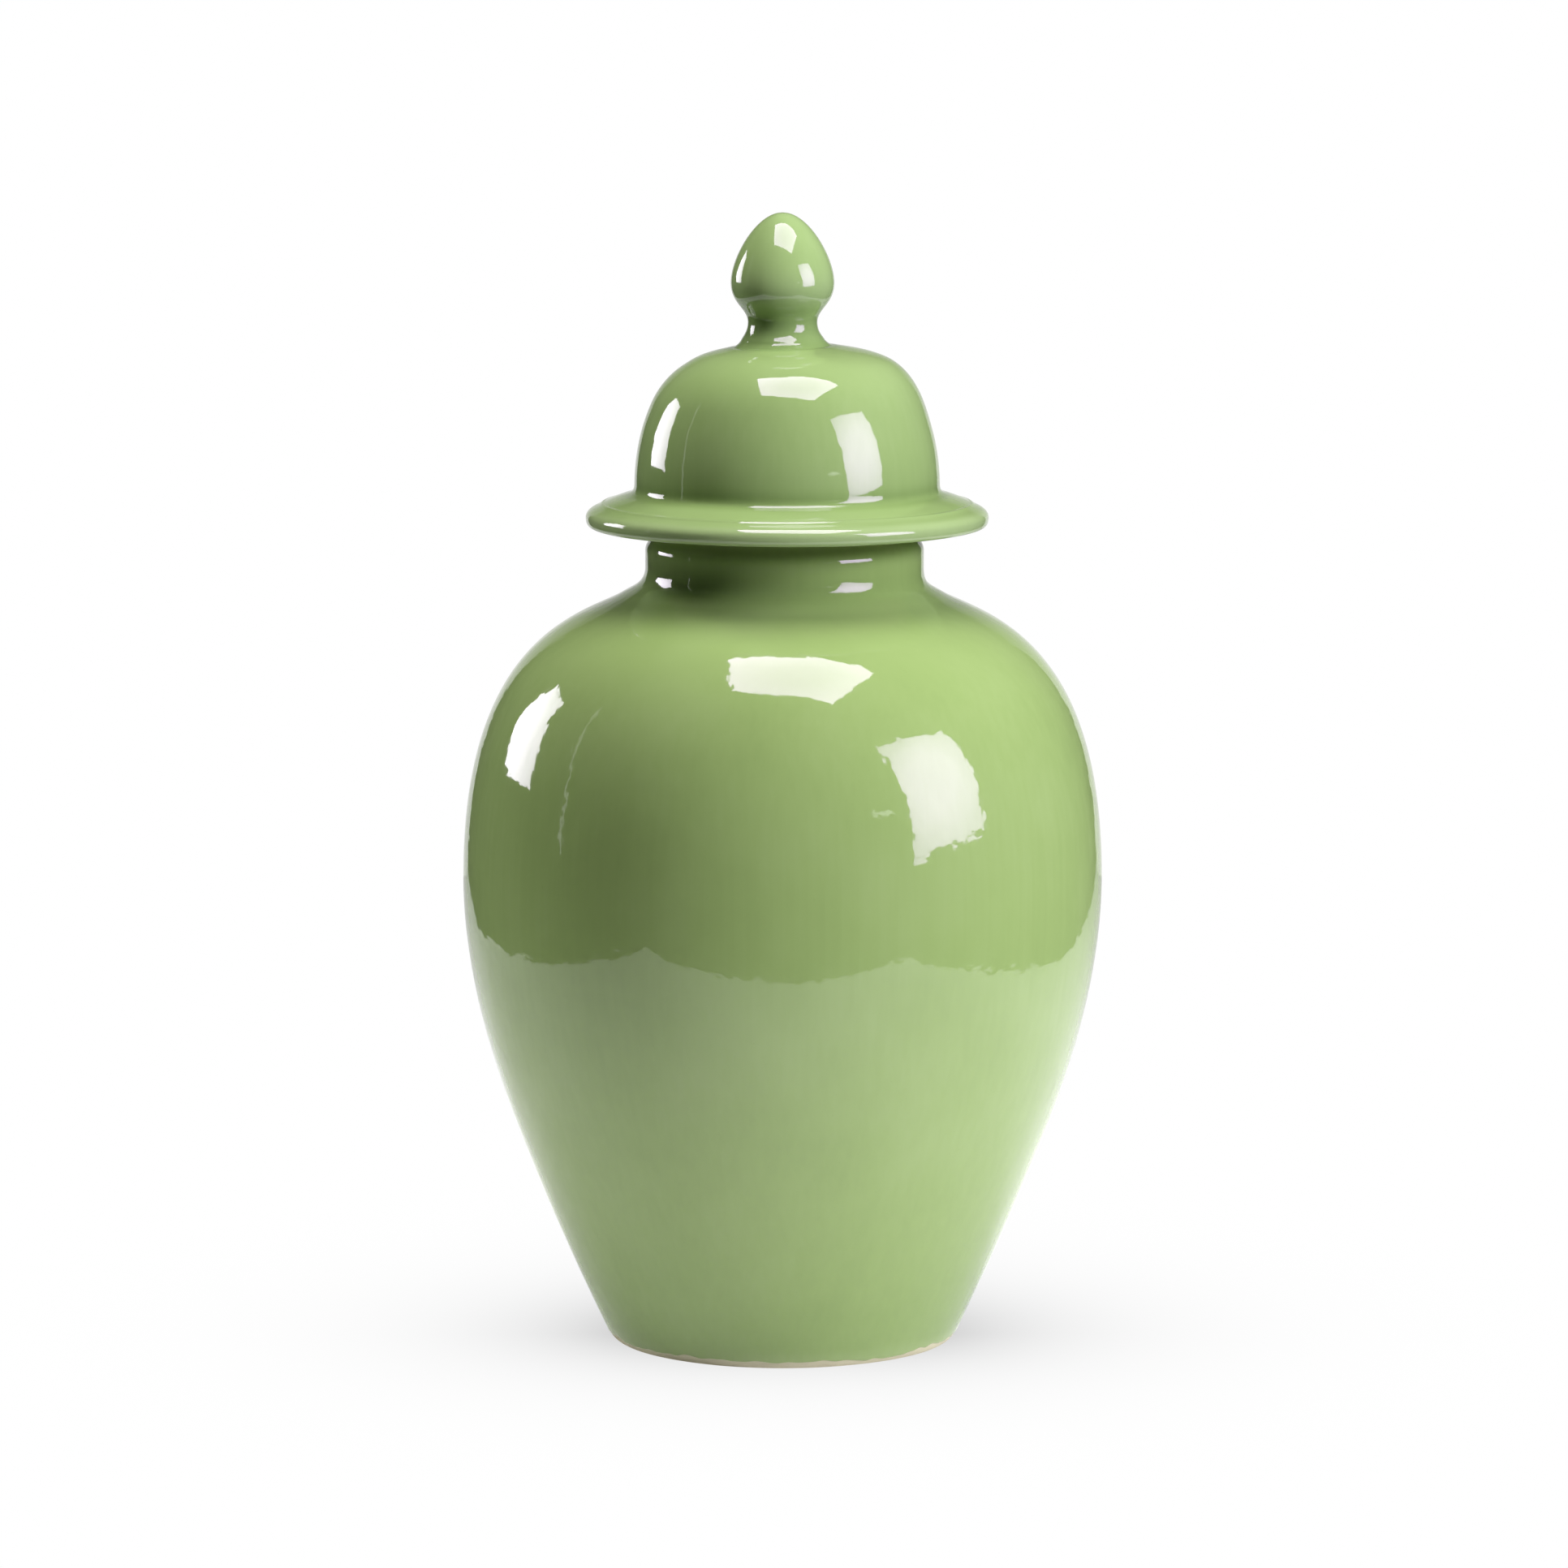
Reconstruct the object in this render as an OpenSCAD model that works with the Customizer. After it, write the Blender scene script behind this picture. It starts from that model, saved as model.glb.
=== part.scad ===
// Ginger jar of green glazed stoneware: a foot, a full belly thrown in two bowls,
// a short neck, and a loose domed lid with a brim, a locating collar and a knob.
// Millimetres. The jar stands on z = 0 and its axis is the z axis.
// Every piece is turned from an outline, given as [radius, height].

/* [Jar] */
// Height of the mouth, where the lid rests
mouth_z = 403.4; // [390:0.2:418]
// Diameter of the belly at its widest
belly_d = 315; // [295:1:335]
// Height of the widest point, where the two bowls join
belly_z = 231; // [215:1:245]
// Diameter of the foot, where the belly starts
foot_d = 175; // [160:1:190]
// Diameter of the neck
neck_d = 137; // [128:1:146]
// Height of the neck above the shoulder
neck_h = 32.4; // [30:0.2:40]
// Thickness of the thrown wall
wall = 7; // [5:0.5:9]

/* [Foot] */
// Height of the foot ring
foot_h = 5; // [3:0.5:8]
// Width of the foot ring at its top
foot_w = 17.5; // [14:0.5:24]
// Thickness of the jar's floor
floor_t = 8; // [6:0.5:12]

/* [Lid] */
// Diameter over the brim
brim_d = 198; // [188:1:210]
// Height of the dome's seat above the brim's flat underside
brim_rise = 18.8; // [17:0.2:21]
// Diameter of the dome at its base
dome_d = 150; // [140:1:158]
// Height of the dome
dome_h = 70.5; // [62:0.5:80]
// Thickness of the dome's wall
lid_wall = 6; // [4:0.5:8]
// How far the locating collar reaches below the mouth
collar_depth = 22; // [15:1:30]

/* [Finial] */
// Height of the finial
finial_h = 65; // [58:0.5:72]
// Diameter of its flared base
flare_d = 56; // [50:1:60]
// Diameter of its stem at the narrowest
stem_d = 34.4; // [30:0.2:38]
// Diameter of its knob
knob_d = 51; // [46:0.5:56]

/* [Fit] */
// Gap between the mouth and the lid's bearing face
lid_gap = 0.3; // [0.2:0.05:0.5]
// Gap all round between the collar and the inside of the neck
collar_gap = 2.5; // [1.5:0.25:4]

/* [Hidden] */

turned_fn = 144;    // sides of a turned piece
steps = 14;         // straight stretches in each curve
up = 90;            // headings along an outline, in degrees from the radius
inward = 180;
outward = 0;

belly_r = belly_d / 2;
foot_r = foot_d / 2;
neck_r = neck_d / 2;
bore_r = neck_r - wall;
shoulder_z = mouth_z - neck_h;
neck_foot_r = neck_r + 10.5;   // where the shoulder ends and the neck's fillet starts
fillet_h = 13;
rim_h = 11.3;                  // height of the bevelled rim at the top of the neck
rim_bevel = 32;                // how far the bevel leans in from upright
rim_turn_r = 7.5;              // radius of the turn into the bevel
rim_land = 0.8;                // flat top of the rim, where the lid rests
rim_round = 1;                 // rounding of the rim's inner edge

lid_z = mouth_z + lid_gap;
seat_z = lid_z + brim_rise;
crown_z = seat_z + dome_h;
tip_z = crown_z + finial_h;
brim_r = brim_d / 2;
dome_r = dome_d / 2;
collar_r = bore_r - collar_gap;
collar_w = 5;

stem_r = stem_d / 2;
knob_r = knob_d / 2;
vent_r = stem_r - wall;        // opening from the finial's hollow into the dome
stem_z = crown_z + 0.17 * finial_h;
knob_z = crown_z + 0.47 * finial_h;

glaze_green = [0.55, 0.66, 0.42];
pale_green = [0.66, 0.76, 0.52];
bare_clay = [0.75, 0.73, 0.62];

// ---- Curves ------------------------------------------------------------------
// A curve is four control points: it leaves point a along one heading and reaches
// point b along another. The pulls are fractions of the distance from a to b.

function towards(heading) = [cos(heading), sin(heading)];

function curve(a, leave, pull_a, b, arrive, pull_b) =
    let (span = norm(b - a))
    [a, a + pull_a * span * towards(leave), b - pull_b * span * towards(arrive), b];

function place(c, t) =
    let (s = 1 - t)
    s * s * s * c[0] + 3 * s * s * t * c[1] + 3 * s * t * t * c[2] + t * t * t * c[3];

function travel(c, t) =
    let (s = 1 - t)
    s * s * (c[1] - c[0]) + 2 * s * t * (c[2] - c[1]) + t * t * (c[3] - c[2]);

// The side that faces out of the clay, to the right of the travel.
function out_of_clay(c, t) =
    let (along = travel(c, t))
    [along[1], -along[0]] / norm(along);

function outer_face(c) = [for (i = [0:steps]) place(c, i / steps)];

// The same stretch one thickness further in, walked the other way.
function inner_face(c, thickness, start = 0) = [
    for (i = [steps:-1:0])
        let (t = start + (1 - start) * i / steps)
        place(c, t) - thickness * out_of_clay(c, t)
];

module turned(outline) rotate_extrude($fn = turned_fn) polygon(outline);

// ---- Outlines that neighbouring pieces share -----------------------------------

lower_side = curve([foot_r, foot_h], 65, 0.44, [belly_r, belly_z], up, 0.28);
upper_side = curve([belly_r, belly_z], up, 0.71, [neck_foot_r, shoulder_z], 152, 0.18);
dome_side = curve([dome_r, seat_z], up, 0.1,
                  [dome_r - 8, seat_z + 0.6 * dome_h], 112, 0.45);
dome_crown = curve(dome_side[3], 112, 0.52, [flare_d / 2, crown_z], 162, 0.27);

// ---- Jar ---------------------------------------------------------------------

// Bare ring that the jar stands on, rounded where it meets the floor.
module foot_ring() {
    edge = curve([foot_r - 5.3, 0], 25, 0.4, [foot_r, foot_h], 65, 0.3);
    inner_r = foot_r - foot_w;
    color(bare_clay)
        turned(concat(
            [[inner_r, foot_h], [inner_r + 1.2, 1], [inner_r + 2.4, 0]],
            outer_face(edge)));
}

// Floor and lower half of the belly. A cove joins the floor to the wall inside.
module lower_bowl() {
    cove_start = 0.12;
    floor_z = foot_h + floor_t;
    cove_top = place(lower_side, cove_start) - wall * out_of_clay(lower_side, cove_start);
    cove = curve([0.66 * foot_r, floor_z], outward, 0.45, cove_top, 66, 0.45);
    color(glaze_green)
        turned(concat(
            [[0, foot_h]],
            outer_face(lower_side),
            inner_face(lower_side, wall, cove_start),
            [for (i = [1:steps]) place(cove, 1 - i / steps)],
            [[0, floor_z]]));
}

// Upper half of the belly and the shoulder, open where the neck stands on it.
module upper_bowl() {
    opening_t = 3;
    color(glaze_green)
        turned(concat(
            outer_face(upper_side),
            [[bore_r, shoulder_z], [bore_r, shoulder_z - opening_t]],
            inner_face(upper_side, wall)));
}

// Neck, filleted onto the shoulder, with a bevelled rim.
module neck_ring() {
    lean = up + rim_bevel;
    bevel_foot = [neck_r, mouth_z - rim_h]
        + rim_turn_r * [cos(rim_bevel) - 1, sin(rim_bevel)];
    fillet = curve([neck_foot_r, shoulder_z], 152, 0.3,
                   [neck_r, shoulder_z + fillet_h], up, 0.6);
    turn = curve([neck_r, mouth_z - rim_h], up, 0.34, bevel_foot, lean, 0.34);
    bevel = curve(bevel_foot, lean, 0.6,
                  [bore_r + rim_round + rim_land, mouth_z], inward, 0.3);
    inner_edge = curve([bore_r + rim_round, mouth_z], inward, 0.39,
                       [bore_r, mouth_z - rim_round], -up, 0.39);
    color(glaze_green)
        turned(concat(
            [[bore_r, shoulder_z]],
            outer_face(fillet),
            outer_face(turn),
            [for (i = [1:steps]) place(bevel, i / steps)],
            outer_face(inner_edge)));
}

// ---- Lid ---------------------------------------------------------------------

// Ring under the lid that keeps it centred in the neck.
module locating_collar() {
    chamfer = 1.5;
    low_z = mouth_z - collar_depth;
    color(bare_clay)
        turned([
            [collar_r - collar_w, lid_z],
            [collar_r - collar_w, low_z],
            [collar_r - chamfer, low_z],
            [collar_r, low_z + chamfer],
            [collar_r, lid_z]
        ]);
}

// Sloping brim with a thick rounded lip. Its flat underside rests on the rim, and it
// carries the dome.
module lid_brim() {
    lip_under = curve([brim_r - 4, lid_z], outward, 0.5, [brim_r, lid_z + 4.1], up, 0.5);
    lip_top = curve([brim_r, lid_z + 4.1], up, 0.45,
                    [brim_r - 6, lid_z + 10.8], 156, 0.1);
    color(pale_green)
        turned(concat(
            [[collar_r - collar_w, lid_z + 3], [collar_r - collar_w, lid_z]],
            outer_face(lip_under),
            [for (i = [1:steps]) place(lip_top, i / steps)],
            [[dome_r, seat_z], [dome_r - lid_wall, seat_z]]));
}

// Hollow dome, open at the crown into the finial.
module lid_dome() {
    color(pale_green)
        turned(concat(
            outer_face(dome_side),
            outer_face(dome_crown),
            [[vent_r, crown_z], [vent_r, crown_z - lid_wall]],
            inner_face(dome_crown, lid_wall),
            inner_face(dome_side, lid_wall)));
}

// Hollow knob on a waisted stem, with a flared base on the dome's crown.
module finial() {
    flare = curve([flare_d / 2, crown_z], 172, 0.1, [stem_r, stem_z], up, 0.55);
    knob_low = curve([stem_r, stem_z], up, 0.32, [knob_r, knob_z], up, 0.5);
    knob_top = curve([knob_r, knob_z], up, 0.29, [0, tip_z], inward, 0.3);
    color(pale_green)
        turned(concat(
            [[vent_r, crown_z]],
            outer_face(flare),
            outer_face(knob_low),
            outer_face(knob_top),
            inner_face(knob_top, wall),
            inner_face(knob_low, wall)));
}

foot_ring();
lower_bowl();
upper_bowl();
neck_ring();
locating_collar();
lid_brim();
lid_dome();
finial();
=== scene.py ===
"""Ginger jar of green glazed stoneware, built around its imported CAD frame.

Every CAD piece is turned here again as a fine closed mesh with the unevenness of
thrown and glazed clay, and rides on the same body. Outlines are in millimetres, as
[radius, height], with the clay on the left of the direction of travel.
"""
import math

import bpy
import mathutils
import numpy as np
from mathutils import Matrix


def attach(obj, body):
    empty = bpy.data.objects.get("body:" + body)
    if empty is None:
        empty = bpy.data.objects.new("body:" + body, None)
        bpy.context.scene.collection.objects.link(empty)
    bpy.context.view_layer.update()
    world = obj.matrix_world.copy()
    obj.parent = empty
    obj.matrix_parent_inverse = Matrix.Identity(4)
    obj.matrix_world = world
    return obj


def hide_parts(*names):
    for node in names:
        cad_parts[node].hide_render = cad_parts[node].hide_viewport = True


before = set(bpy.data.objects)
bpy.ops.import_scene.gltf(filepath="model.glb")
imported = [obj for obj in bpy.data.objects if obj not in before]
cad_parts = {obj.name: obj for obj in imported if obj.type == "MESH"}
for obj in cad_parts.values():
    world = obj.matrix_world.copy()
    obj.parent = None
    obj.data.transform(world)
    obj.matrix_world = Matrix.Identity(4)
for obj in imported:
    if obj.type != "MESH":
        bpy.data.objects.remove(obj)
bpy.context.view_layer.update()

MM = 0.001
AROUND = 512     # vertices round a turned piece
UP, INWARD, OUTWARD, DOWN = 90, 180, 0, -90     # headings, in degrees from the radius

# ---- Sizes in millimetres, from the CAD source and rounded -------------------------
BELLY_R, BELLY_Z = 157.5, 231.0
FOOT_R, FOOT_H, FOOT_W = 87.5, 5.0, 17.5
WALL, FLOOR_T = 7.0, 8.0
MOUTH_Z, NECK_R, SHOULDER_Z = 403.4, 68.5, 371.0
NECK_FOOT_R = 79.0
BORE_R = 61.5
RIM_Z, RIM_BEVEL, RIM_TURN_R, RIM_LAND, RIM_ROUND = 392.1, 32.0, 7.5, 0.8, 1.0
LID_Z, SEAT_Z, CROWN_Z, TIP_Z = 403.7, 422.5, 493.0, 558.0
BRIM_R = 99.0
DOME_R, LID_WALL = 75.0, 6.0
COLLAR_R, COLLAR_W, COLLAR_LOW_Z = 59.0, 5.0, 381.4
STEM_R, KNOB_R = 17.2, 25.5
STEM_Z, KNOB_Z = 504.0, 523.5
VENT_R = 10.2

GLAZE_T = 0.35          # thickness of the glaze, which shows where it ends
GLAZE_EDGE_Z = 3.9      # height of its ragged edge over the foot
INSET = 0.13            # how far the uneven skin lies inside the true form on average
POOLING = 3.0           # depth of pooled glaze for a hollow's curvature (1/mm)
POOLED_MOST = 0.4       # and its limit
BRIM_SHADE_Z = 389.0      # painted shade: the neck's glaze is darkened from here up, under the lid's brim


# ---- Outlines ----------------------------------------------------------------------
def towards(heading):
    return np.array([math.cos(math.radians(heading)), math.sin(math.radians(heading))])


def curve(a, leave, pull_a, b, arrive, pull_b):
    """Four control points: leaves a along one heading, reaches b along another."""
    a, b = np.array(a, float), np.array(b, float)
    span = np.linalg.norm(b - a)
    return np.array([a, a + pull_a * span * towards(leave),
                     b - pull_b * span * towards(arrive), b])


def place(c, t):
    t = np.asarray(t, float)[:, None]
    s = 1 - t
    return s ** 3 * c[0] + 3 * s * s * t * c[1] + 3 * s * t * t * c[2] + t ** 3 * c[3]


def travel(c, t):
    t = np.asarray(t, float)[:, None]
    s = 1 - t
    d = s * s * (c[1] - c[0]) + 2 * s * t * (c[2] - c[1]) + t * t * (c[3] - c[2])
    return d / np.linalg.norm(d, axis=1)[:, None]


def even_steps(c, spacing):
    """Parameters that put points an even distance apart along the curve."""
    fine = np.linspace(0, 1, 400)
    lengths = np.linalg.norm(np.diff(place(c, fine), axis=0), axis=1)
    gone = np.concatenate([[0], np.cumsum(lengths)])
    count = max(3, int(round(gone[-1] / spacing)) + 1)
    return np.interp(np.linspace(0, gone[-1], count), gone, fine)


def outer_face(c, spacing):
    return place(c, even_steps(c, spacing))


def inner_face(c, spacing, thickness, start=0.0):
    """The curve one thickness further into the clay, walked backwards, without the part
    before start."""
    t = start + (1 - start) * even_steps(c, spacing)[::-1]
    along = travel(c, t)
    out = np.stack([along[:, 1], -along[:, 0]], axis=1)
    return place(c, t) - thickness * out


def line(a, b, spacing=3.0):
    a, b = np.array(a, float), np.array(b, float)
    count = max(2, int(round(np.linalg.norm(b - a) / spacing)) + 1)
    return a + (b - a) * np.linspace(0, 1, count)[:, None]


def joined(*stretches):
    """One outline from stretches that meet end to end."""
    return np.concatenate([stretches[0]] + [s[1:] for s in stretches[1:]])


# ---- Uneven surfaces -----------------------------------------------------------------
def waves(points, wavelength, height, seed, count=26):
    """A smooth random field in space: plane waves of about one wavelength, with height as
    their root mean square (mm)."""
    rng = np.random.default_rng(seed)
    heading = rng.normal(size=(count, 3))
    heading /= np.linalg.norm(heading, axis=1)[:, None]
    length = wavelength * rng.uniform(0.75, 1.4, count)
    phase = rng.uniform(0, 2 * math.pi, count)
    flat = points.reshape(-1, 3)
    total = np.zeros(len(flat))
    for h, l, p in zip(heading, length, phase):
        total += np.sin(flat @ (h * 2 * math.pi / l) + p)
    return (total * height * math.sqrt(2 / count)).reshape(points.shape[:-1])


def smoothstep(x):
    """Rises from 0 to 1 while x does, flat at both ends."""
    x = np.clip(x, 0, 1)
    return x * x * (3 - 2 * x)


ANGLES = np.linspace(0, 2 * math.pi, AROUND, endpoint=False)
RADIAL = np.stack([np.cos(ANGLES), np.sin(ANGLES), np.zeros(AROUND)], axis=1)
AXIAL = np.array([0.0, 0.0, 1.0])


def revolved(rows):
    """Positions (row, angle, xyz) of an outline turned about the z axis."""
    return rows[:, 0, None, None] * RADIAL + rows[:, 1, None, None] * AXIAL


def facing(positions):
    """Unit normals of a revolved grid, from its neighbours."""
    along = np.gradient(positions, axis=0)
    around = np.roll(positions, -1, axis=1) - np.roll(positions, 1, axis=1)
    normal = np.cross(around, along)
    size = np.linalg.norm(normal, axis=2, keepdims=True)
    poles = size[..., 0] < 1e-9
    normal = normal / np.maximum(size, 1e-12)
    if poles.any():
        z = np.sign(normal[~poles][:, 2].mean() or 1.0)
        normal[poles] = (0, 0, z)
    return normal


def jar_lean(z):
    """How far the jar's neck stands off its axis, in x."""
    return smoothstep((z - SHOULDER_Z) / 13.0)


def lid_lean(z):
    """The lid lies off centre in x, its dome leans a little more, and its knob is back on
    the jar's axis."""
    return 2.2 + 0.7 * smoothstep((z - 450.0) / 30.0) - 2.9 * smoothstep((z - 484.0) / 9.5)


def lid_tilt(z):
    """Slope by which the dome's crown is higher on its +X side."""
    return 0.024 * smoothstep((z - 465.0) / 25.0) * (1 - smoothstep((z - 493.0) / 8.0))


def uneven(points):
    """Height of the thrown surface over the true form. The inset keeps the whole inside
    the CAD's box."""
    return (waves(points, 130.0, 0.07, 11) + waves(points, 46.0, 0.018, 12)
            + waves(points, 19.0, 0.007, 13) + waves(points, 11.0, 0.0035, 14) - INSET)


def turning_of(rows):
    """Curvature of an outline (1/mm), smoothed: positive where it bulges."""
    reach = 2.5     # mm over which it is smoothed
    step = np.diff(rows, axis=0)
    heading = np.unwrap(np.arctan2(step[:, 1], step[:, 0]))
    length = np.linalg.norm(step, axis=1)
    bend = np.diff(heading) / (0.5 * (length[1:] + length[:-1]))
    bend = np.concatenate([[bend[0]], bend, [bend[-1]]])
    gone = np.concatenate([[0], np.cumsum(length)])
    near = np.exp(-0.5 * ((gone[:, None] - gone[None, :]) / reach) ** 2)
    return near @ bend / near.sum(axis=1)


class Band:
    """A stretch of a piece's surface: positions, normals, glaze cover and glaze depth, which also
    holds painted shade on the jar's neck.
    """

    def __init__(self, positions, glaze=0.0, depth=0.0, normals=None):
        self.positions = positions
        self.normals = facing(positions) if normals is None else normals
        shape = positions.shape[:2]
        self.glaze = np.broadcast_to(glaze, shape)
        self.depth = np.broadcast_to(depth, shape)

    def cut(self, first, last):
        """The rows from first to last of a longer skin, keeping its normals."""
        rows = slice(first, last + 1)
        return Band(self.positions[rows], self.glaze[rows], self.depth[rows], self.normals[rows])


def skin(segments, lean, cover=None, tilt=None):
    """The outer skin over several pieces, as one band, and each segment's first and last
    row. lean and tilt shift each row by an amount that depends on its height, and cover
    says where glaze is. The glaze pools in hollows and runs thin over edges."""
    rows = joined(*segments.values())
    marks, at = {}, 0
    for name, stretch in segments.items():
        marks[name] = (at, at + len(stretch) - 1)
        at += len(stretch) - 1
    points = revolved(rows)
    out = facing(points)
    glaze = np.ones(points.shape[:2]) if cover is None else cover(points)
    height = uneven(points) - GLAZE_T * (1 - glaze)
    points = points + out * height[..., None]
    if tilt:
        points[..., 2] += tilt(rows[:, 1])[:, None] * points[..., 0]
    points[..., 0] += lean(rows[:, 1])[:, None]
    depth = np.clip(-turning_of(rows) * POOLING, -POOLED_MOST, POOLED_MOST)[:, None]
    return Band(points, glaze, depth), marks


def inside(rows, lean, glaze=1.0):
    """A band that follows its outline exactly, for faces inside and underneath."""
    points = revolved(rows)
    points[..., 0] += lean(rows[:, 1])[:, None]
    return Band(points, glaze)


def bridge(start, end, steps=2):
    """A ruled band from the last row of one band to the first row of another."""
    t = np.linspace(0, 1, steps + 1)[:, None]

    def blend(a, b, t):
        return a[None] * (1 - t) + b[None] * t

    return Band(blend(start.positions[-1], end.positions[0], t[..., None]),
                blend(start.glaze[-1], end.glaze[0], t),
                blend(start.depth[-1], end.depth[0], t))


# ---- Meshes ----------------------------------------------------------------------------
def is_pole(row):
    return np.ptp(row, axis=0).max() < 1e-6


def faces_between(low, high, low_normals, high_normals):
    """Corners of the faces between two rings of vertices, and a normal for each corner.
    All vertices of a ring are the same one at a pole."""
    here = np.arange(AROUND)
    after = (here + 1) % AROUND
    corners = np.stack([low[here], low[after], high[after], high[here]], axis=1)
    normals = np.stack([low_normals[here], low_normals[after],
                        high_normals[after], high_normals[here]], axis=1)
    if low[0] == low[1]:
        kept = [0, 2, 3]
    elif high[0] == high[1]:
        kept = [0, 1, 3]
    else:
        kept = [0, 1, 2, 3]
    return corners[:, kept], normals[:, kept]


def new_mesh(name, points, faces, normals):
    """A smooth mesh from groups of faces that have equally many corners."""
    sizes = np.concatenate([np.full(len(group), group.shape[1]) for group in faces])
    corners = np.concatenate([group.ravel() for group in faces])
    mesh = bpy.data.meshes.new(name)
    mesh.vertices.add(len(points))
    mesh.vertices.foreach_set("co", points.ravel())
    mesh.loops.add(len(corners))
    mesh.loops.foreach_set("vertex_index", corners.astype(np.int32))
    mesh.polygons.add(len(sizes))
    mesh.polygons.foreach_set("loop_start", (np.cumsum(sizes) - sizes).astype(np.int32))
    mesh.update(calc_edges=True)
    mesh.validate()
    mesh.shade_smooth()
    mesh.normals_split_custom_set(np.concatenate([group.reshape(-1, 3) for group in normals]))
    return mesh


def piece(name, node, body, material, bands, closed=True):
    """A closed mesh from bands that follow each other round a cross-section. Where they
    start and end on the axis, they don't join up, and closed is False."""
    start, rows, glaze, depth = [], [], [], []
    for band in bands:
        start.append(len(rows))
        ends_here = band is bands[-1] and not closed
        keep = len(band.positions) - (0 if ends_here else 1)
        rows.extend(band.positions[:keep])
        glaze.extend(band.glaze[:keep])
        depth.extend(band.depth[:keep])
    poles = np.array([is_pole(row) for row in rows])
    counts = np.where(poles, 1, AROUND)
    first = np.cumsum(counts) - counts
    rings = first[:, None] + np.where(poles[:, None], 0, np.arange(AROUND))

    def per_vertex(values):
        return np.concatenate([row[:count] for row, count in zip(values, counts)])

    faces, normals = [], []
    for at, band in zip(start, bands):
        for i in range(len(band.positions) - 1):
            low, high = rings[at + i], rings[(at + i + 1) % len(rows)]
            corners, at_corners = faces_between(low, high, band.normals[i], band.normals[i + 1])
            faces.append(corners)
            normals.append(at_corners)
    mesh = new_mesh(name, per_vertex(rows) * MM, faces, normals)
    for label, values in (("glaze", glaze), ("depth", depth)):
        attribute = mesh.attributes.new(label, "FLOAT", "POINT")
        attribute.data.foreach_set("value", per_vertex(values).astype(np.float32))
    mesh.materials.append(material)
    obj = bpy.data.objects.new(name, mesh)
    bpy.context.scene.collection.objects.link(obj)
    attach(obj, body)
    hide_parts(node)


# ---- Materials ---------------------------------------------------------------------------
class Nodes:
    """Short calls for building the node tree of a material or a world."""

    def __init__(self, owner):
        owner.use_nodes = True
        self.owner = owner
        self.tree = owner.node_tree
        self.shader = self.tree.nodes.get("Principled BSDF")

    def add(self, kind, **settings):
        node = self.tree.nodes.new(kind)
        for key, value in settings.items():
            setattr(node, key, value)
        return node

    def link(self, a, b):
        self.tree.links.new(a, b)

    def attribute(self, name):
        return self.add("ShaderNodeAttribute", attribute_name=name).outputs["Fac"]

    def noise(self, scale, detail=2.0, rough=0.5, stretch=(1, 1, 1)):
        """Noise in object space; scale is cells per metre."""
        where = self.add("ShaderNodeTexCoord").outputs["Object"]
        mapping = self.add("ShaderNodeMapping")
        mapping.inputs["Scale"].default_value = stretch
        self.link(where, mapping.inputs["Vector"])
        node = self.add("ShaderNodeTexNoise")
        node.inputs["Scale"].default_value = scale
        node.inputs["Detail"].default_value = detail
        node.inputs["Roughness"].default_value = rough
        self.link(mapping.outputs["Vector"], node.inputs["Vector"])
        return node.outputs["Fac"]

    def span(self, value, low, high, to_low, to_high):
        """The value carried from the range low..high to the range to_low..to_high."""
        node = self.add("ShaderNodeMapRange")
        ends = {"From Min": low, "From Max": high, "To Min": to_low, "To Max": to_high}
        for key, number in ends.items():
            node.inputs[key].default_value = number
        self.link(value, node.inputs["Value"])
        return node.outputs["Result"]

    def math(self, operation, *values):
        node = self.add("ShaderNodeMath", operation=operation)
        for socket, value in zip(node.inputs, values):
            if isinstance(value, (int, float)):
                socket.default_value = value
            else:
                self.link(value, socket)
        return node.outputs[0]

    def mix(self, factor, a, b):
        node = self.add("ShaderNodeMix", data_type="RGBA")
        first_colour, second_colour = node.inputs[6], node.inputs[7]
        for socket, value in zip((node.inputs["Factor"], first_colour, second_colour), (factor, a, b)):
            if isinstance(value, (int, float)):
                socket.default_value = value
            elif isinstance(value, tuple):
                socket.default_value = (*value, 1.0)
            else:
                self.link(value, socket)
        return node.outputs[2]

    def bump(self, height, distance, below=None):
        node = self.add("ShaderNodeBump")
        node.inputs["Distance"].default_value = distance
        self.link(height, node.inputs["Height"])
        if below is not None:
            self.link(below, node.inputs["Normal"])
        return node.outputs["Normal"]


GLAZE_GREEN = (0.262, 0.360, 0.134)
# The deep green of thick glaze, which also paints the shade under the lid's brim on the jar's neck.
GLAZE_DEEP_AND_SHADE = (0.140, 0.215, 0.060)
GLAZE_THIN = (0.400, 0.490, 0.260)
CLAY = (0.68, 0.64, 0.47)
CLAY_DARK = (0.56, 0.51, 0.35)


def clay_colour(n):
    cloudy = n.noise(60, 4.0, 0.6)
    grains = n.span(n.noise(900, 2.0), 0.62, 0.72, 0.0, 0.55)
    return n.mix(grains, n.mix(cloudy, CLAY, CLAY_DARK), CLAY_DARK)


def toned(colour, tone):
    return tuple(c * t for c, t in zip(colour, tone))


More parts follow.
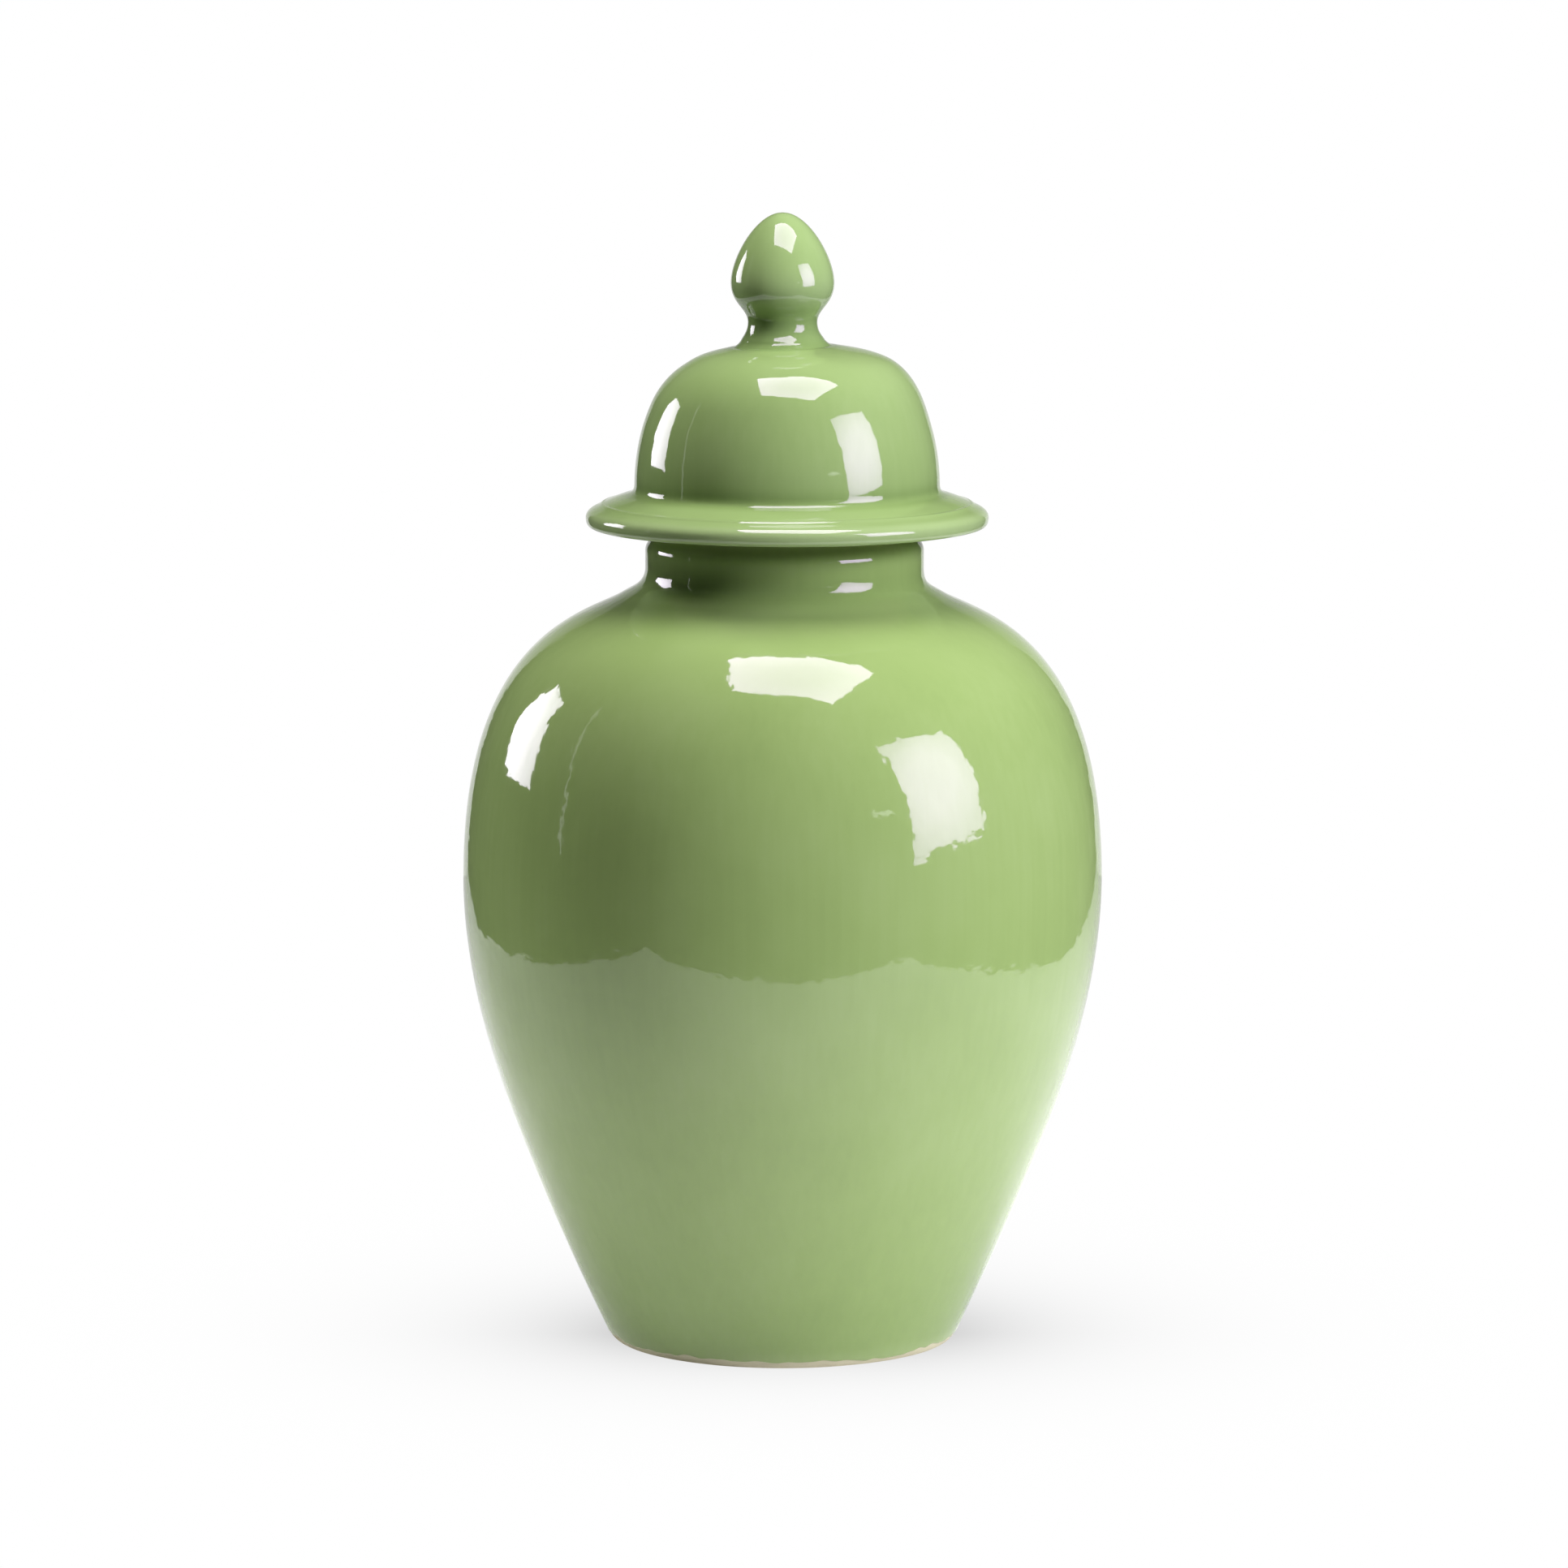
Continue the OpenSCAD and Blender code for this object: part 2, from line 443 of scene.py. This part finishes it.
def glazed_stoneware(name, tone, ripples=1.0):
    """Glossy green glaze over pale clay, its green multiplied by a tone and its ripples by
    a factor. The glaze attribute says where it is, and the depth attribute where the glaze
    lies thick in a hollow (above 0) or has run thin over an edge (below 0). On the jar's neck
    the depth attribute also carries painted shade under the lid's brim."""
    n = Nodes(bpy.data.materials.new(name))
    cover = n.attribute("glaze")
    depth = n.attribute("depth")
    cloud = n.span(n.noise(14, 3.0), 0.3, 0.7, -0.10, 0.10)
    streaks = n.span(n.noise(230, 2.0, 0.5, (1, 1, 0.03)), 0.3, 0.7, -0.035, 0.035)
    normal = n.add("ShaderNodeSeparateXYZ")
    n.link(n.add("ShaderNodeNewGeometry").outputs["Normal"], normal.inputs[0])
    steep = n.span(normal.outputs["Z"], 0.5, 0.85, 1.0, 0.0)
    runs = n.math("MULTIPLY", streaks, steep)
    drift = n.math("ADD", n.math("ADD", depth, cloud), runs)
    even, deep_and_shade, thin = (toned(c, tone) for c in (GLAZE_GREEN, GLAZE_DEEP_AND_SHADE, GLAZE_THIN))
    # Deeper green where the glaze lies thick, and painted shade under the lid's brim on the jar's
    # neck.
    pooled_and_shaded = n.mix(n.span(drift, 0.0, 1.0, 0.0, 1.0), even, deep_and_shade)
    green = n.mix(n.span(drift, 0.0, -1.0, 0.0, 1.0), pooled_and_shaded, thin)
    specks = n.span(n.noise(1500, 1.0), 0.76, 0.80, 0.0, 0.25)
    green = n.mix(specks, green, GLAZE_DEEP_AND_SHADE)
    n.link(n.mix(cover, clay_colour(n), green), n.shader.inputs["Base Color"])
    gloss = n.span(n.noise(35, 2.0), 0.3, 0.7, 0.035, 0.06)
    dull = n.span(cover, 0.0, 1.0, 0.8, 0.0)
    n.link(n.math("MAXIMUM", gloss, dull), n.shader.inputs["Roughness"])
    n.shader.inputs["IOR"].default_value = 1.46
    swell = n.bump(n.noise(60, 0.0), 0.00014 * ripples)
    ripple = n.bump(n.noise(150, 1.0, 0.4), 0.00010 * ripples, swell)
    pits = n.bump(n.noise(420, 1.0), 0.000006 * ripples, ripple)
    n.link(pits, n.shader.inputs["Normal"])
    return n.owner


def bare_clay():
    """Unglazed fired clay: matt, gritty, a little uneven in colour."""
    n = Nodes(bpy.data.materials.new("bare_clay"))
    n.link(clay_colour(n), n.shader.inputs["Base Color"])
    n.link(n.span(n.noise(200, 3.0), 0.3, 0.7, 0.75, 0.9), n.shader.inputs["Roughness"])
    grit = n.bump(n.noise(1400, 3.0, 0.6), 0.00025)
    rings = n.bump(n.noise(500, 1.0, 0.5, (0.05, 0.05, 1)), 0.0002, grit)
    n.link(rings, n.shader.inputs["Normal"])
    return n.owner


# ---- Jar -----------------------------------------------------------------------------------
FINE, COARSE = ((2.2, 6.0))     # mm between rows of vertices

foot_edge = curve([83.4, 0], 25, 0.25, [FOOT_R, FOOT_H], 68, 0.5)
lower_side = curve([FOOT_R, FOOT_H], 65, 0.44, [BELLY_R, BELLY_Z], UP, 0.28)
upper_side = curve([BELLY_R, BELLY_Z], UP, 0.756, [NECK_FOOT_R, SHOULDER_Z], 147, 0.131)
neck_fillet = curve([NECK_FOOT_R, SHOULDER_Z], 150, 0.4, [NECK_R, SHOULDER_Z + 13], UP, 0.5)
bevel_foot = [NECK_R - RIM_TURN_R * (1 - math.cos(math.radians(RIM_BEVEL))),
              RIM_Z + RIM_TURN_R * math.sin(math.radians(RIM_BEVEL))]
rim_turn = curve([NECK_R, RIM_Z], UP, 0.34, bevel_foot, UP + RIM_BEVEL, 0.34)
rim_bevel = curve(bevel_foot, UP + RIM_BEVEL, 0.6,
                  [BORE_R + RIM_ROUND + RIM_LAND, MOUTH_Z], INWARD, 0.3)
rim_in = curve([BORE_R + RIM_ROUND, MOUTH_Z], INWARD, 0.39,
               [BORE_R, MOUTH_Z - RIM_ROUND], DOWN, 0.39)


def jar_cover(points):
    """Where glaze covers the jar: down to a ragged edge over the foot, up to the mouth."""
    z = points[..., 2]
    ring = points.copy()
    ring[..., 2] = 0
    edge = GLAZE_EDGE_Z + waves(ring, 42.0, 0.45, 21) + waves(ring, 9.0, 0.3, 22)
    top = MOUTH_Z - 1.2 + waves(ring, 15.0, 0.3, 23)
    return smoothstep((z - edge) / 0.5 + 0.5) * smoothstep((top - z) / 0.5 + 0.5)


def make_jar(glaze):
    outside, rows = skin({
        "foot": outer_face(foot_edge, 0.25),
        "lower": outer_face(lower_side, FINE),
        "upper": outer_face(upper_side, FINE),
        "fillet": outer_face(neck_fillet, 0.8),
        "neck": line(neck_fillet[3], [NECK_R, RIM_Z], 1.2),
        "turn": outer_face(rim_turn, 0.5),
        "bevel": outer_face(rim_bevel, 0.4),
    }, jar_lean, jar_cover)
    foot = outside.cut(*rows["foot"])
    lower = outside.cut(*rows["lower"])
    upper = outside.cut(*rows["upper"])
    neck = outside.cut(rows["fillet"][0], rows["bevel"][1])
    # Painted shade: the neck darkens towards the mouth as if its glaze lay thicker, standing in for
    # the shade under the lid's brim.
    painted_brim_shade = smoothstep((neck.positions[..., 2] - BRIM_SHADE_Z) / 10.0)
    neck.depth = neck.depth + painted_brim_shade

    foot_in = FOOT_R - FOOT_W
    recess = inside(joined(line([foot_in, FOOT_H], [foot_in + 1.2, 1]),
                           line([foot_in + 1.2, 1], [foot_in + 2.4, 0], 0.5)), jar_lean, 0.0)
    piece("foot_ring", "foot_ring", "jar", glaze, [
        foot,
        bridge(foot, recess),
        recess,
        bridge(recess, foot),
    ])

    cove_start = 0.12
    wall_inside = inner_face(lower_side, COARSE, WALL, cove_start)
    cove = curve(wall_inside[-1], 66 - 180, 0.45, [0.66 * FOOT_R, FOOT_H + FLOOR_T], INWARD, 0.45)
    hollow = inside(joined(wall_inside,
                           outer_face(cove, 2.5),
                           line(cove[3], [0, FOOT_H + FLOOR_T], 8.0)), jar_lean)
    underside = inside(line([0, FOOT_H], [FOOT_R - 2, FOOT_H], 12.0), jar_lean, 0.0)
    piece("lower_bowl", "lower_bowl", "jar", glaze, [
        underside,
        bridge(underside, lower, 1),
        lower,
        bridge(lower, hollow),
        hollow,
    ], closed=False)

    opening = [BORE_R, SHOULDER_Z - 3]
    under_shoulder = inner_face(upper_side, COARSE, WALL)
    hollow = inside(joined(line(opening, under_shoulder[0]), under_shoulder), jar_lean)
    rim = inside(line([BORE_R, SHOULDER_Z], opening), jar_lean)
    piece("upper_bowl", "upper_bowl", "jar", glaze, [
        upper,
        bridge(upper, rim, 4),
        rim,
        hollow,
        bridge(hollow, upper),
    ])

    lip = inside(joined(line(rim_bevel[3], rim_in[0], 0.4),
                        outer_face(rim_in, 0.4)), jar_lean, 0.0)
    bore = inside(line(rim_in[3], [BORE_R, SHOULDER_Z], 1.0), jar_lean)
    bore.glaze = smoothstep((MOUTH_Z - 4 - bore.positions[..., 2]
                             + waves(bore.positions * [1, 1, 0], 25.0, 0.8, 24)) / 0.8)
    piece("neck_ring", "neck_ring", "jar", glaze, [
        neck,
        bridge(neck, lip, 1),
        lip,
        bore,
        bridge(bore, neck, 4),
    ])


# ---- Lid -----------------------------------------------------------------------------------
DOME_FOOT_Z = SEAT_Z + 3.2      # top of the fillet between brim and dome
UNDER_R = 76.0                  # the brim's underside is skin outside this, and plain inside

lip_under = curve([BRIM_R - 4.4, LID_Z], OUTWARD, 0.5, [BRIM_R, LID_Z + 4.8], UP, 0.5)
lip_top = curve([BRIM_R, LID_Z + 4.8], UP, 0.45, [BRIM_R - 5.5, LID_Z + 10.4], 152, 0.15)
slope = curve(lip_top[3], 152, 0.33, [DOME_R + 4, SEAT_Z - 2.7], 163, 0.33)
crease = curve(slope[3], 163, 0.5, [DOME_R, DOME_FOOT_Z], 91, 0.5)
dome_side = curve(crease[3], 91, 0.2, [67, 464.5], 112, 0.45)
dome_crown = curve(dome_side[3], 112, 0.52, [27.0, 492.2], 168, 0.25)
flare_foot = curve(dome_crown[3], 168, 0.5, [22.9, 493.2], 141, 0.35)
flare = curve(flare_foot[3], 141, 0.24, [20.5, 495.7], 117, 0.4)
stem = curve(flare[3], 117, 0.2, [STEM_R, STEM_Z], UP, 0.5)
knob_low = curve([STEM_R, STEM_Z], UP, 0.32, [KNOB_R, KNOB_Z], UP, 0.5)
knob_top = curve([KNOB_R, KNOB_Z], UP, 0.29, [0, TIP_Z], INWARD, 0.3)


def ring_ridge(rows, radius, height, width):
    """A low throwing ridge that runs round the turned stretch."""
    rows = rows.copy()
    rows[:, 1] += height * np.exp(-((rows[:, 0] - radius) / width) ** 2)
    return rows


def make_lid(glaze, knob_glaze, clay):
    tip = outer_face(knob_top, 0.9)
    tip = tip[(tip[:, 0] == 0) | (tip[:, 0] > 2.5)]     # no rings too small for their vertices
    outside, rows = skin({
        "under": line([UNDER_R, LID_Z], lip_under[0], 1.2),
        "lip_under": outer_face(lip_under, 0.6),
        "lip_top": outer_face(lip_top, 0.6),
        "slope": ring_ridge(outer_face(slope, 0.35), 90.9, 0.4, 0.9),
        "crease": outer_face(crease, 0.35),
        "side": outer_face(dome_side, 1.0),
        "crown": outer_face(dome_crown, 1.0),
        "flare_foot": outer_face(flare_foot, 0.3),
        "flare": outer_face(flare, 0.25),
        "stem": outer_face(stem, 0.6),
        "knob_low": outer_face(knob_low, 0.7),
        "knob_top": tip,
    }, lid_lean, tilt=lid_tilt)
    split = (rows["crease"][0] + rows["crease"][1]) // 2
    brim = outside.cut(rows["under"][0], split)
    dome = outside.cut(split, rows["crown"][1])
    knob = outside.cut(rows["flare_foot"][0], rows["knob_top"][1])

    inner_r = COLLAR_R - COLLAR_W
    throat = inside(joined(line([DOME_R - LID_WALL, SEAT_Z], [inner_r, LID_Z + 3], 1.5),
                           line([inner_r, LID_Z + 3], [inner_r, LID_Z], 1.0)), lid_lean)
    bearing = inside(line([inner_r, LID_Z], [UNDER_R, LID_Z], 2.0), lid_lean, 0.0)
    piece("lid_brim", "lid_brim", "lid", glaze, [
        brim,
        bridge(brim, throat, 2),
        throat,
        bearing,
    ])

    chamfer = 1.5
    ring = inside(joined(
        line([COLLAR_R, LID_Z], [inner_r, LID_Z], 2.0),
        line([inner_r, LID_Z], [inner_r, COLLAR_LOW_Z + 0.8], 2.0),
        line([inner_r, COLLAR_LOW_Z + 0.8], [inner_r + 0.8, COLLAR_LOW_Z], 0.5),
        line([inner_r + 0.8, COLLAR_LOW_Z], [COLLAR_R - chamfer, COLLAR_LOW_Z], 1.0),
        line([COLLAR_R - chamfer, COLLAR_LOW_Z], [COLLAR_R, COLLAR_LOW_Z + chamfer], 0.7),
        line([COLLAR_R, COLLAR_LOW_Z + chamfer], [COLLAR_R, LID_Z], 2.0)), lid_lean, 0.0)
    piece("locating_collar", "locating_collar", "lid", clay, [ring])

    under_crown = inner_face(dome_crown, 3.0, LID_WALL)
    hollow = inside(joined(line([VENT_R, CROWN_Z - LID_WALL], under_crown[0]),
                           under_crown,
                           inner_face(dome_side, 3.0, LID_WALL),
                           line([DOME_R - LID_WALL, DOME_FOOT_Z],
                                [DOME_R - LID_WALL, SEAT_Z])), lid_lean)
    hole = inside(line([VENT_R, CROWN_Z], [VENT_R, CROWN_Z - LID_WALL]), lid_lean)
    piece("lid_dome", "lid_dome", "lid", glaze, [
        dome,
        bridge(dome, hole, 6),
        hole,
        hollow,
        bridge(hollow, dome, 1),
    ])

    core = inside(joined(inner_face(knob_top, 2.5, WALL), inner_face(knob_low, 2.5, WALL),
                         line([VENT_R, STEM_Z], [VENT_R, CROWN_Z])), lid_lean, 0.0)
    piece("finial", "finial", "lid", knob_glaze, [
        core,
        bridge(core, knob, 6),
        knob,
    ], closed=False)


# ---- Studio, in metres -----------------------------------------------------------------------
# Area lights light the jar but aren't mirrored in its glaze. What the glaze mirrors instead
# are panels in about the same directions and two stands, which give no other light.
MIRRORED_TABLE = 0.8        # glow of the table in the glaze, on top of its own light
MIRRORED_BACKDROP = 0.85
MIRRORED_ROOM = 0.04
PAPER_BOUNCE = 0.42         # extra light that the table gives back to the jar
FLOOR_WHITE = 1.0           # the floor as the camera sees it, away from the jar
FLOOR_SHADE = 0.2           # how much darker it is beside the foot
SHADE_START = 0.112         # distance from the jar's axis where it is that dark
SHADE_REACH = 0.055         # distance over which that shade fades
TOP_PANEL_Z = 1.07
LIGHT_POWER = math.pi ** 2 / 4      # power of a square metre of light with a strength of 1
LIGHT_COLOUR = {"top": (1.0, 1.0, 0.92), "left": (1.0, 1.0, 1.0), "right": (1.0, 1.0, 1.1)}


def add_to_stage(name, mesh):
    obj = bpy.data.objects.new(name, mesh)
    bpy.context.scene.collection.objects.link(obj)
    return obj


def area_light(name, at, towards_point, size, strength):
    """A rectangular light, not mirrored in the glaze. Its surface is equally bright at any
    size."""
    data = bpy.data.lights.new(name, "AREA")
    data.color = LIGHT_COLOUR[name.split("_")[0]]
    data.shape = "RECTANGLE"
    data.size, data.size_y = size
    data.energy = strength * LIGHT_POWER * size[0] * size[1]
    obj = bpy.data.objects.new(name, data)
    obj.location = at
    aim = mathutils.Vector(towards_point) - mathutils.Vector(at)
    obj.rotation_euler = aim.to_track_quat("-Z", "Y").to_euler()
    bpy.context.scene.collection.objects.link(obj)
    obj.visible_glossy = False
    obj.visible_camera = False


def panel(name, corners, strength, tint, edge):
    """A flat glowing panel that only mirrors see. In its farthest corner it glows by edge
    times its strength."""
    mesh = bpy.data.meshes.new(name)
    mesh.from_pydata(corners, [], [list(range(len(corners)))])
    n = Nodes(bpy.data.materials.new(name))
    n.tree.nodes.remove(n.shader)
    glow = n.add("ShaderNodeEmission")
    glow.inputs["Color"].default_value = (*tint, 1.0)
    centre = np.mean(corners, axis=0)
    reach = np.linalg.norm(np.array(corners) - centre, axis=1).max()
    off = n.add("ShaderNodeVectorMath", operation="DISTANCE")
    n.link(n.add("ShaderNodeNewGeometry").outputs["Position"], off.inputs[0])
    off.inputs[1].default_value = centre
    fall = n.span(off.outputs["Value"], 0.3 * reach, reach, strength, edge * strength)
    n.link(fall, glow.inputs["Strength"])
    n.link(glow.outputs["Emission"], n.tree.nodes["Material Output"].inputs["Surface"])
    mesh.materials.append(n.owner)
    obj = add_to_stage(name, mesh)
    obj.visible_camera = False
    obj.visible_diffuse = False
    obj.visible_shadow = False


def upright(azimuth, distance, across, z):
    """A point on an upright plane that faces the jar from a distance. Azimuth 0 is the
    camera's side and 90 is +X."""
    a = math.radians(azimuth)
    x = math.sin(a) * distance + math.cos(a) * across
    y = -math.cos(a) * distance + math.sin(a) * across
    return (x, y, z)


def by_ray(n, camera, glossy, diffuse):
    """A strength that depends on what kind of ray arrives."""
    path = n.add("ShaderNodeLightPath")
    total = n.math("MULTIPLY", path.outputs["Is Camera Ray"], camera)
    total = n.math("MULTIPLY_ADD", path.outputs["Is Glossy Ray"], glossy, total)
    return n.math("MULTIPLY_ADD", path.outputs["Is Diffuse Ray"], diffuse, total)


def glowing(name, camera, glossy, diffuse, base=0.0):
    """White paper that glows by another strength for each kind of ray. A strength is a
    number, or a function that makes one from the distance from the jar's axis and from
    x, y and z. The base is the paper's own grey, which the camera doesn't see."""
    n = Nodes(bpy.data.materials.new(name))
    n.shader.inputs["Roughness"].default_value = 1.0
    n.shader.inputs["Specular IOR Level"].default_value = 0.0
    n.shader.inputs["Emission Color"].default_value = (1, 1, 1, 1)
    where = n.add("ShaderNodeSeparateXYZ")
    n.link(n.add("ShaderNodeNewGeometry").outputs["Position"], where.inputs[0])
    x, y, z = where.outputs
    away = n.math("SQRT", n.math("MULTIPLY_ADD", x, x, n.math("MULTIPLY", y, y)))
    strengths = [f(n, away, x, y, z) if callable(f) else f for f in (camera, glossy, diffuse)]
    n.link(by_ray(n, *strengths), n.shader.inputs["Emission Strength"])
    seen = n.add("ShaderNodeLightPath").outputs["Is Camera Ray"]
    paper = n.mix(seen, (base, base, base), (0.0, 0.0, 0.0))
    n.link(paper, n.shader.inputs["Base Color"])
    return n.owner


def floor_look(n, away, x, y, z):
    """White, with a soft shade round the foot that is fainter in front of the jar."""
    beyond = n.math("SUBTRACT", away, SHADE_START)
    fade = n.math("EXPONENT", n.math("MULTIPLY", beyond, -1 / SHADE_REACH))
    front = n.span(n.math("DIVIDE", y, away), -1.0, 0.0, 0.4, 1.0)
    return n.math("MULTIPLY_ADD", n.math("MULTIPLY", fade, front), -FLOOR_SHADE, FLOOR_WHITE)


def floor_mirrored(n, away, x, y, z):
    """Dimmer close to the foot, far behind the jar and on the left."""
    near = n.span(away, 0.10, 0.36, 0.40, 1.0)
    behind = n.span(y, 0.0, 0.9, 1.0, 0.3)
    side = n.span(x, -0.25, 0.5, 0.85, 1.15)
    dimming = n.math("MULTIPLY", n.math("MULTIPLY", near, behind), side)
    return n.math("MULTIPLY", dimming, MIRRORED_TABLE)


def floor_bounce(n, away, x, y, z):
    """Dimmer close to the foot and on the left."""
    side = n.span(x, -0.15, 0.15, 0.6, 1.0)
    return n.math("MULTIPLY", n.span(away, 0.10, 0.30, 0.22, PAPER_BOUNCE), side)


def backdrop_mirrored(n, away, x, y, z):
    """Fainter towards the top."""
    return n.span(z, 0.30, 1.1, MIRRORED_BACKDROP, 0.03)


def paper_sweep():
    """White table, and behind it a paper backdrop curving up, which only the glaze shows."""
    table = bpy.data.meshes.new("table")
    edge = [(-0.71, -0.665), (0.61, -0.655), (0.73, 0.0), (0.83, 1.1), (0.86, 1.5),
            (-0.83, 1.5), (-0.79, 0.9), (-0.82, 0.2)]
    table.from_pydata([(x, y, 0) for x, y in edge], [], [list(range(len(edge)))])
    table.materials.append(glowing("white_paper", floor_look, floor_mirrored, floor_bounce, 0.8))
    add_to_stage("table", table)
    left, right, bend, radius, top, steps = -0.81, 0.86, 1.5, 0.35, 1.0, 16
    profile = [(bend + radius * math.sin(a), radius * (1 - math.cos(a)))
               for a in np.linspace(0, math.pi / 2, steps)] + [(bend + radius, top)]
    points = [(x, y, z) for y, z in profile for x in (left, right)]
    faces = [(2 * i, 2 * i + 1, 2 * i + 3, 2 * i + 2) for i in range(len(profile) - 1)]
    back = bpy.data.meshes.new("backdrop")
    back.from_pydata(points, [], faces)
    back.materials.append(glowing("backdrop", 1.0, backdrop_mirrored, 0.0))
    back.shade_smooth()
    add_to_stage("backdrop", back).visible_camera = False


def room():
    """Plain white behind everything for the camera, and a dim room in the glaze."""
    bpy.context.scene.world = bpy.data.worlds.new("room")
    n = Nodes(bpy.context.scene.world)
    background = n.tree.nodes["Background"]
    background.inputs["Color"].default_value = (1, 1, 1, 1)
    n.link(by_ray(n, 1.0, MIRRORED_ROOM, 0.0), background.inputs["Strength"])


LIGHTS = {
    # name: place, size, strength
    "top": ((0.05, -0.16, TOP_PANEL_Z), (0.47, 0.36), 2.0),
    "top_high": ((0.07, -0.23, 1.45), (0.75, 0.58), 10.2),
    "left_low": (upright(-118, 1.9, 0, 0.3), (0.5, 0.6), 8.0),
    "left_high": (upright(-118, 1.9, 0, 1.7), (0.5, 0.6), 30.0),
    "right_low": (upright(60, 1.8, 0, 0.35), (0.6, 0.6), 3.8),
    "right": (upright(58, 1.8, 0, 1.0), (0.6, 0.6), 32.0),
    "right_high": (upright(60, 1.8, 0, 1.8), (0.6, 0.6), 15.5),
}


def studio():
    paper_sweep()
    room()
    for name, (at, size, strength) in LIGHTS.items():
        aim = (at[0], at[1], 0) if name.startswith("top") else (0, 0, 0.3)
        area_light(name, at, aim, size, strength)
    panel("top_panel", [(x, y, TOP_PANEL_Z) for x, y in (
        (-0.17, 0.04), (0.06, 0.04), (0.24, -0.01), (0.335, -0.075),
        (0.25, -0.45), (-0.05, -0.38), (-0.215, -0.31))], 11.0, (1.0, 0.79, 1.12), 1.3)
    panel("left_panel", [upright(-120, 2.0, across, z) for across, z in (
        (-0.16, 1.40), (0.30, 1.37), (0.58, 0.5), (-0.18, 0.46), (-0.32, 0.72))],
          11.4, (1.0, 0.92, 1.06), 0.75)
    panel("right_panel", [upright(60, 1.9, across, z) for across, z in (
        (-0.72, 1.78), (0.36, 1.60), (0.56, 1.05), (0.53, 0.40), (-0.46, 0.28), (-0.50, 0.80))],
          12.8, (1.0, 0.75, 1.2), 0.45)
    stand_width = 0.03
    stand = [(-0.205, 1.76), (-0.15, 1.38), (-0.10, 1.0), (-0.015, 0.745), (0.01, 0.51), (0.02, 0.25)]
    panel("left_stand", [upright(-85, 1.9, across, z) for across, z in stand]
          + [upright(-85, 1.9, across + stand_width, z) for across, z in reversed(stand)],
          2.2, (1.0, 1.0, 1.0), 1.0)
    panel("right_bar", [upright(40, 1.9, across, z) for across, z in (
        (-0.34, 0.68), (-0.14, 0.71), (0.03, 0.66), (-0.14, 0.64))], 4.5, (1.0, 1.0, 1.0), 0.7)


def camera():
    """A long lens, looking slightly down on the jar's middle."""
    pitch, distance, aim_z = math.radians(8.0), 3.90, 0.2761
    data = bpy.data.cameras.new("camera")
    data.sensor_width = 36.0
    data.lens = 181.7
    cam = bpy.data.objects.new("camera", data)
    cam.location = (0.0007, -distance * math.cos(pitch), aim_z + distance * math.sin(pitch))
    cam.rotation_euler = (math.pi / 2 - pitch, 0, 0)
    bpy.context.scene.collection.objects.link(cam)
    bpy.context.scene.camera = cam


camera()
studio()
clay = bare_clay()
# The lid and the knob take the jar's glaze in darker tones: painted shade, since the studio lights the
# lid more than it lights the jar.
make_jar(glazed_stoneware("jar_glaze", (1.06, 1.06, 1.0)))
make_lid(glazed_stoneware("lid_glaze", (0.95, 0.96, 0.98), 0.6),
         glazed_stoneware("knob_glaze", (0.93, 0.95, 0.98), 0.2), clay)
bpy.context.scene.view_settings.view_transform = "Standard"
